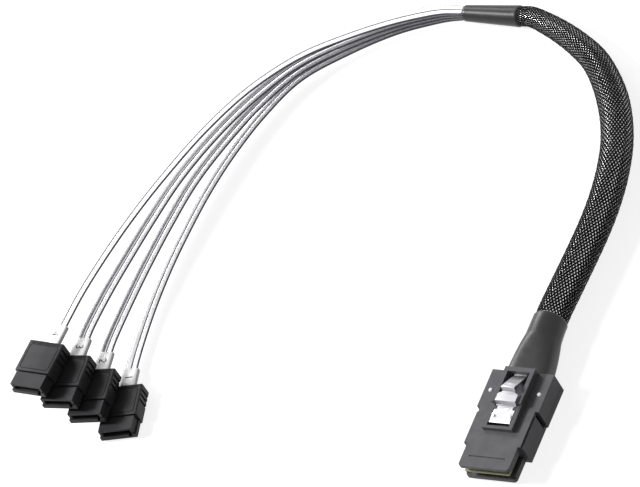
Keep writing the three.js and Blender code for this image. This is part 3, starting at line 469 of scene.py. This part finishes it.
# %% Ribbons
RIBBON_WIDTH = 4.8 * MM
RIBBON_THICKNESS = 1.0 * MM
RIBBON_SQUEEZE = 0.78
RIBBON_PITCH = 1.1
WEB = 0.3  # thickness of the jacket in the groove, as a share
STAIR = 6.2
PLUG_MIDDLE = 2.95
GUIDES = (12.5, 6.25, 0.3)  # how far behind a plug its ribbon's last three points lie
GRIP_SPAN = 14  # one over the share of the ribbon over which the squeeze goes
LOBE_POWER = 2.4
COLLAR_END = (-85.9, 168.6, 4.0)
PLUGS = {1: (-151.95, -0.05, 13.4), 2: (-160.8, 1.7, 8.6), 3: (-168.05, 2.45, 4.5), 4: (-175.65, 2.85, -2.5)}
RIBBON_POINTS = {
    1: [(-94, 167.3, 2.35), (-110, 161.2, 2.5), (-127.5, 149.8, 2.6), (-141.8, 136.8, 2.7), (-150, 119.5, 2.8),
        (-154.8, 102, 2.9), (-157.5, 85, 2.95), (-158.6, 68, 2.95), (-158.8, 51, 2.95), (-157.6, 32, 2.95)],
    2: [(-94, 167.4, 3.65), (-109.5, 161.6, 4), (-127, 151, 4.4), (-141.5, 138.5, 5), (-151, 121, 5.9),
        (-157.3, 102, 6.8), (-161, 84.5, 7.7), (-162.4, 66, 8.4), (-163, 48, 8.9), (-163.1, 30, 9.1)],
    3: [(-94, 167.5, 4.95), (-109, 162.1, 5.5), (-126, 152.2, 6.3), (-141, 139.7, 7.5), (-151.8, 122, 9.1),
        (-159.3, 102, 10.9), (-164, 82, 12.5), (-166, 64, 13.7), (-167.4, 46, 14.7), (-168.6, 30, 15.2)],
    4: [(-94, 167.6, 6.25), (-108, 162.6, 7.1), (-124.5, 153.4, 8.5), (-140, 141.4, 10.3), (-152.5, 124, 12.6),
        (-161, 103, 15.1), (-167, 79, 17.7), (-170.6, 60, 19.4), (-173, 42, 20.7), (-174.6, 26, 21.4)],
}


def behind(number, distance):
    """A point on the line of the ribbon, that far behind a plug's cable end, in mm."""
    x, y, turn = PLUGS[number]
    turn = math.radians(turn)
    return (x - distance * math.sin(turn), y + distance * math.cos(turn), (number - 1) * STAIR + PLUG_MIDDLE)


def ribbon_outline(points=44):
    """Half the width times cos(a), and for the height two round lobes that meet in a
    groove: a lobe is a superellipse of LOBE_POWER about a quarter of the width."""
    a = np.arange(points) / points * 2 * np.pi
    x = np.cos(a)
    from_core = np.clip(np.abs(np.abs(x) - 0.5) / 0.5, 0, 1)
    lobe = (1 - from_core**LOBE_POWER) ** (1 / LOBE_POWER)
    inside = np.maximum(lobe, WEB * (np.abs(x) < 0.5))
    return x, np.sign(np.sin(a)) * inside / 2


def ribbon_line(number, count=220):
    """The route from the collar's rim, one ribbon's height above the next, to its plug."""
    level = COLLAR_END[2] + (number - 2.5) * RIBBON_PITCH
    last = [behind(number, distance) for distance in GUIDES]
    points = [(*COLLAR_END[:2], level), *RIBBON_POINTS[number], *last]
    return even_line(np.array(points) * MM, count)


def ribbon(number, material):
    """The outline carried along the route, level all the way, and narrower in the collar."""
    centre, tangent, side, lift, steps = ribbon_line(number)
    x, z = ribbon_outline()
    grip = np.clip(RIBBON_SQUEEZE + (1 - RIBBON_SQUEEZE) * steps / steps[-1] * GRIP_SPAN, 0, 1)
    rings = side[:, None] * (x * RIBBON_WIDTH / 2)[:, None] + lift[:, None] * (z * RIBBON_THICKNESS)[:, None]
    rings = centre[:, None] + rings * grip[:, None, None]
    made = tubes(f"flat_ribbon_{number}", rings[None], material, {"across": x}, sharp=60.0)
    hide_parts(f"ribbon_{number}")
    return made, centre


ribbons = {n: ribbon(n, banded_ribbon_jacket_painted_shade if n in (2, 3) else ribbon_jacket) for n in PLUGS}
print("ribbons, mm:", [round(straight_length(line) / MM, 1) for _, line in ribbons.values()])

# %% [markdown]
# Boot and collar are heat shrink tube. The boot goes from a rounded oblong, where it grips
# the plug, to a circle over the sleeve. A superellipse does both: its power is 5 for a
# rounded box and 2 for a circle, and it only has to change along the way.

# %% Boot
PLUG_BACK = 19.25
CLEARANCE = 0.1
BOOT_LENGTH = 23.0
LIP = 0.25
ABOVE_TABLE = 2e-5  # metres
LIP_FOLD = 0.03  # how far the last ring folds in, as a share of its size
OBLONG = (15.8, 8.0, 4.4)  # width, height and middle where the boot grips the plug
ROUND = (12.2, 11.6, 5.82)  # the same over the sleeve


def eased(t):
    """Three t squared less two t cubed: from 0 to 1 with a level start and end."""
    return t * t * (3 - 2 * t)


def boot_rings(rings=72, around=96):
    """Superellipse rings along +Y. Width, height, middle and power go from the oblong to the
    round end by a cubic ease, and the last ring folds in over the sleeve's edge."""
    t = np.linspace(0, 1, rings)[:, None]
    e = eased(t)
    y = PLUG_BACK + CLEARANCE + t * (BOOT_LENGTH - CLEARANCE)
    width, height, middle = (a + (b - a) * e for a, b in zip(OBLONG, ROUND))
    power = 5 - 3 * np.clip(t * 1.5, 0, 1)
    fold = np.minimum(1, np.sqrt(np.clip((1 - t) * BOOT_LENGTH / LIP, 0, 1)) * LIP_FOLD + 1 - LIP_FOLD)
    a = np.arange(around) / around * 2 * np.pi
    x = np.sign(np.cos(a)) * np.abs(np.cos(a)) ** (2 / power) * width / 2 * fold
    z = middle + np.sign(np.sin(a)) * np.abs(np.sin(a)) ** (2 / power) * height / 2 * fold
    rows = np.stack([-x, np.broadcast_to(y, x.shape), z], axis=-1) * MM
    return np.maximum(rows, [-1, -1, ABOVE_TABLE])[None]


boot = tubes("shrink_boot", boot_rings(), shrink_tube)
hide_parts("boot")

# %% Collar
COLLAR_LENGTH = 23.0
COLLAR_WIDE = 3.9
COLLAR_NARROW = 2.9
COLLAR_RIM = 0.8
COLLAR_GAP = 0.3  # between the ribbons' start and the collar's rim


def collar_rings(rings=64, around=64):
    """Rings along -X, from the sleeve's end to the ribbons. The radius falls evenly from
    COLLAR_WIDE to COLLAR_NARROW, with a quarter circle of rounding at both rims."""
    t = np.linspace(0, 1, rings)[:, None]
    x = COLLAR_END[0] + COLLAR_GAP + COLLAR_LENGTH * (1 - t)
    near_rim = np.clip(np.minimum(t, 1 - t) * COLLAR_LENGTH / COLLAR_RIM, 0, 1)
    rounding = COLLAR_RIM * (1 - np.sqrt(1 - (1 - near_rim) ** 2))
    r = COLLAR_WIDE + (COLLAR_NARROW - COLLAR_WIDE) * t - rounding
    a = np.arange(around) / around * 2 * np.pi
    y = COLLAR_END[1] + np.cos(a) * -r
    z = COLLAR_END[2] + np.sin(a) * r
    return (np.stack([np.broadcast_to(x, y.shape), y, z], axis=-1) * MM)[None]


collar = tubes("shrink_collar", collar_rings(), shrink_tube)
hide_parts("collar")
print("boot and collar:", len(boot.data.polygons), len(collar.data.polygons), "faces")

# %% [markdown]
# Moulded parts have small radii on every edge, and those radii are what catches the light.
# The solids have sharp edges, so a copy of each is merged, cleared of the seams that lie
# in a flat face, and rounded by a bevel that only takes edges over 30 degrees.

# %% Rounded copies of the solids
def softened(node, name, edge, material, body=BODY, segments=2):
    """A copy of a solid with its edges rounded, which stands for that solid."""
    mesh = nodes[node].data.copy()
    work = bmesh.new()
    work.from_mesh(mesh)
    bmesh.ops.remove_doubles(work, verts=work.verts, dist=2e-6)
    bmesh.ops.dissolve_limit(work, angle_limit=math.radians(1), verts=work.verts, edges=work.edges)
    bmesh.ops.recalc_face_normals(work, faces=work.faces)
    work.to_mesh(mesh)
    work.free()
    mesh.shade_smooth()
    mesh.set_sharp_from_angle(angle=math.radians(35))
    made = placed(name, mesh, material, body)
    rounding = made.modifiers.new("rounded_edges", "BEVEL")
    rounding.width = edge * MM
    rounding.segments = segments
    rounding.limit_method = "ANGLE"
    rounding.angle_limit = math.radians(30)
    rounding.harden_normals = True
    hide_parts(node)
    return made


softened("host_plug_top_shell", "top_shell", 0.14, host_plastic)
softened("host_plug_bottom_shell", "bottom_shell", 0.14, host_plastic_dark)
softened("latch", "spring_latch", 0.05, spring_steel, LATCH_BODY)
for side_name in ("left", "right"):
    softened(f"rivet_{side_name}", f"rivet_head_{side_name}", 0.04, spring_steel)


def plug_matrix(number):
    """From a drive plug's own frame, in metres, to the row frame."""
    x, y, turn = PLUGS[number]
    place_at = Matrix.Translation(Vector((x, y, (number - 1) * STAIR)) * MM)
    return place_at @ Matrix.Rotation(math.radians(turn), 4, "Z")


# %% [markdown]
# The top of each overmould has a fine raised line a little inside its rim, the trace of an
# insert in the mould, and two more along its rear edge. They are far thinner than anything
# else on the plug. Their near-black colour is painted shade, so that they read as dark
# lines and give the plain surface its scale.

# %% Trim lines of the drive plugs
LINE_HALF = 0.15
OVERMOULD_TOP = 5.9
PANEL_HALF = 5.9
PANEL_BACK = -1.5
PANEL_FRONT = -11.4
REAR_LINES = (-0.55, -1.0)
PANEL_POWER = 14
LINE_POINTS = 24
LINE_HEIGHT = 0.7  # over LINE_HALF


def flat_rod(points, around=6):
    """A thin rod along level points: a flattened hexagon square to the line, half sunk in."""
    line = np.asarray(points, float)
    run = np.gradient(line, axis=0)
    run /= np.linalg.norm(run, axis=1)[:, None]
    sideways = np.cross([0.0, 0.0, 1.0], run)
    a = np.arange(around) / around * 2 * np.pi
    ring = np.cos(a)[:, None] * sideways[:, None] * LINE_HALF
    ring[..., 2] += np.sin(a) * LINE_HALF * LINE_HEIGHT
    return line[:, None] + ring


def panel_loop(count=96):
    """A rectangle with round corners, as a superellipse of PANEL_POWER about its middle."""
    a = np.arange(count) / count * 2 * np.pi
    c, q = np.cos(a), np.sin(a)
    r = (np.abs(c) ** PANEL_POWER + np.abs(q) ** PANEL_POWER) ** (-1 / PANEL_POWER)
    middle = (PANEL_BACK + PANEL_FRONT) / 2
    reach = (PANEL_BACK - PANEL_FRONT) / 2
    return np.stack([c * r * PANEL_HALF, middle + q * r * reach, np.full(count, OVERMOULD_TOP)], axis=1)


def trim_lines(number):
    """The panel's line as one closed rod, and the two straight rods at the rear edge."""
    loop = panel_loop()
    closed = np.vstack([loop[-1:], loop, loop[:1]])
    frame_line = tubes(f"drive_panel_line_{number}", flat_rod(closed)[None, 1:-1] * MM, trim_line_painted_shade,
                       closed=True, sharp=60.0)
    x = np.linspace(-PANEL_HALF, PANEL_HALF, LINE_POINTS)
    level = np.full(LINE_POINTS, OVERMOULD_TOP)
    rods = np.stack([flat_rod(np.stack([x, np.full(LINE_POINTS, y), level], axis=1)) for y in REAR_LINES])
    rear = tubes(f"drive_rear_lines_{number}", rods * MM, trim_line_painted_shade, sharp=60.0)
    for piece in (frame_line, rear):
        piece.data.transform(plug_matrix(number))
    return [frame_line, rear]


drive_pieces = {}
for n in PLUGS:
    drive_pieces[n] = [
        softened(f"drive_plug_{n}_overmould", f"drive_overmould_{n}", 0.18, black_mould,
                 segments=3),
        softened(f"drive_plug_{n}_housing", f"drive_housing_{n}", 0.1, black_mould),
        nodes[f"drive_plug_{n}_contacts"],
    ]
    drive_pieces[n] += trim_lines(n)
for node, material in (("paddle_card", card_laminate), ("wire_block", black_mould)):
    nodes[node].data.materials.clear()
    nodes[node].data.materials.append(material)
for n in PLUGS:
    nodes[f"drive_plug_{n}_contacts"].data.materials.clear()
    nodes[f"drive_plug_{n}_contacts"].data.materials.append(contact_gold)
print("rounded solids:", 5 + 2 * len(PLUGS))

# %% [markdown]
# A short film sleeve sits on each ribbon just behind its plug, with a number that tells
# the four apart. Its wall is real: the outline runs along the outside and back inside.

# %% Labels
LABEL_START = 1.0
LABEL_LENGTH = 7.6
LABEL_HALF = (3.05, 1.15)  # half width and half height outside
LABEL_WALL = 0.33
LABEL_RIM = (0.05, 0.12)  # the rim's rounding, across and along
DIGIT_SIZE = 4.2


def label_rings(around=64):
    """A rounded rectangle as a superellipse of power 4, carried out along the outside and
    back along the inside."""
    a = np.arange(around) / around * 2 * np.pi
    c = np.sign(np.cos(a)) * np.abs(np.cos(a)) ** 0.5
    s = np.sign(np.sin(a)) * np.abs(np.sin(a)) ** 0.5
    start, end = LABEL_START, LABEL_START + LABEL_LENGTH
    inside, rim, full = (np.subtract(LABEL_HALF, cut) for cut in (LABEL_WALL, LABEL_RIM[0], 0))
    stations = [(start, *inside), (start, *rim), (start + LABEL_RIM[1], *full),
                (end - LABEL_RIM[1], *full), (end, *rim), (end, *inside)]
    rows = [np.stack([-c * w, np.full(around, y), PLUG_MIDDLE + s * h], axis=-1) for y, w, h in stations]
    return np.stack(rows)[None] * MM


def across_label(around=64):
    """The same superellipse's width, from -1 to 1, for the painted shade at the film's sides."""
    c = np.cos(np.arange(around) / around * 2 * np.pi)
    return np.sign(c) * np.abs(c) ** 0.5


def digit(number):
    """The label's number as a flat raised mesh on its upper face."""
    curve = bpy.data.curves.new(f"digit_{number}", "FONT")
    curve.body = str(number)
    curve.size = DIGIT_SIZE * MM
    curve.extrude = 0.02 * MM
    curve.align_x = "CENTER"
    curve.align_y = "CENTER"
    holder = bpy.data.objects.new("holder", curve)
    bpy.context.scene.collection.objects.link(holder)
    bpy.context.view_layer.update()
    mesh = bpy.data.meshes.new_from_object(holder.evaluated_get(bpy.context.evaluated_depsgraph_get()))
    bpy.data.objects.remove(holder)
    middle = Vector((0, LABEL_START + LABEL_LENGTH / 2, PLUG_MIDDLE + LABEL_HALF[1])) * MM
    read_along = Matrix.Rotation(math.radians(-90), 4, "Z")
    mesh.transform(plug_matrix(number) @ Matrix.Translation(middle) @ read_along)
    return placed(f"label_digit_{number}", mesh, label_ink)


for n in PLUGS:
    sleeve_of_film = tubes(f"label_sleeve_{n}", label_rings(), label_film,
                           {"across": across_label()}, closed=True, sharp=50.0)
    sleeve_of_film.data.transform(plug_matrix(n))
    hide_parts(f"label_{n}")
    digit(n)

# %% [markdown]
# The whole cable is in view from end to end.

# %% [markdown]
# The photograph is a cut-out on white. Its main light comes from the left: the raised frame
# round the latch throws a black band with a soft edge to its right. A lamp that is small
# for its distance gives such a band. A second, weaker one behind the cable draws the long
# highlights along the boot and the sleeve, and the world fills the rest.

# %% Floor
floor_mesh = bpy.data.meshes.new("floor")
FLOOR_HALF = 4.0
FLOOR_LEVEL = -1e-4
FLOOR_GLOW = 0.84
corners = [(x * FLOOR_HALF, y * FLOOR_HALF, FLOOR_LEVEL) for x, y in ((-1, -1), (1, -1), (1, 1), (-1, 1))]
floor_mesh.from_pydata(corners, [], [(0, 1, 2, 3)])
floor = bpy.data.objects.new("floor", floor_mesh)
bpy.context.scene.collection.objects.link(floor)
floor_paper, tree, shader = material_of("floor_paper", (0.35, 0.35, 0.35), 0.9)
rays = add(tree, "LightPath")
shiny = sums(tree, "MAXIMUM", rays.outputs["Is Glossy Ray"], rays.outputs["Is Transmission Ray"])
seen = sums(tree, "MAXIMUM", rays.outputs["Is Camera Ray"], shiny)
glow = add(tree, "Emission", {"Color": (1, 1, 1, 1), "Strength": sums(tree, "MULTIPLY", seen, FLOOR_GLOW)})
both = add(tree, "AddShader", {0: shader.outputs[0], 1: glow.outputs[0]})
tree.links.new(both.outputs[0], tree.nodes["Material Output"].inputs["Surface"])
floor_mesh.materials.append(floor_paper)

# %% World and lamps
AMBIENT = 0.16
world = bpy.data.worlds.new("world")
bpy.context.scene.world = world
world.use_nodes = True
tree = world.node_tree
rays = add(tree, "LightPath")
shiny = sums(tree, "MAXIMUM", rays.outputs["Is Glossy Ray"], rays.outputs["Is Transmission Ray"])
seen = sums(tree, "MAXIMUM", rays.outputs["Is Camera Ray"], shiny)
strength = spread(tree, seen, 0.0, 1.0, AMBIENT, 1.0)
background = tree.nodes["Background"]
background.inputs["Color"].default_value = (1, 1, 1, 1)
tree.links.new(strength, background.inputs["Strength"])


def softbox(name, place_at, size, watts):
    """A square lamp that faces the middle of the cable."""
    data = bpy.data.lights.new(name, "AREA")
    data.size = size
    data.energy = watts
    lamp = bpy.data.objects.new(name, data)
    bpy.context.scene.collection.objects.link(lamp)
    lamp.location = place_at
    middle = Vector((-0.09, 0.08, 0.0))
    lamp.rotation_euler = (middle - lamp.location).to_track_quat("-Z", "Y").to_euler()

softbox("softbox_left", Vector((-1.0, -0.15, 0.8)), 0.26, 16.0)
softbox("softbox_behind", Vector((-1.03, 0.7, 0.66)), 0.6, 7.0)
bpy.context.scene.view_settings.view_transform = "Standard"
print("stage ready")
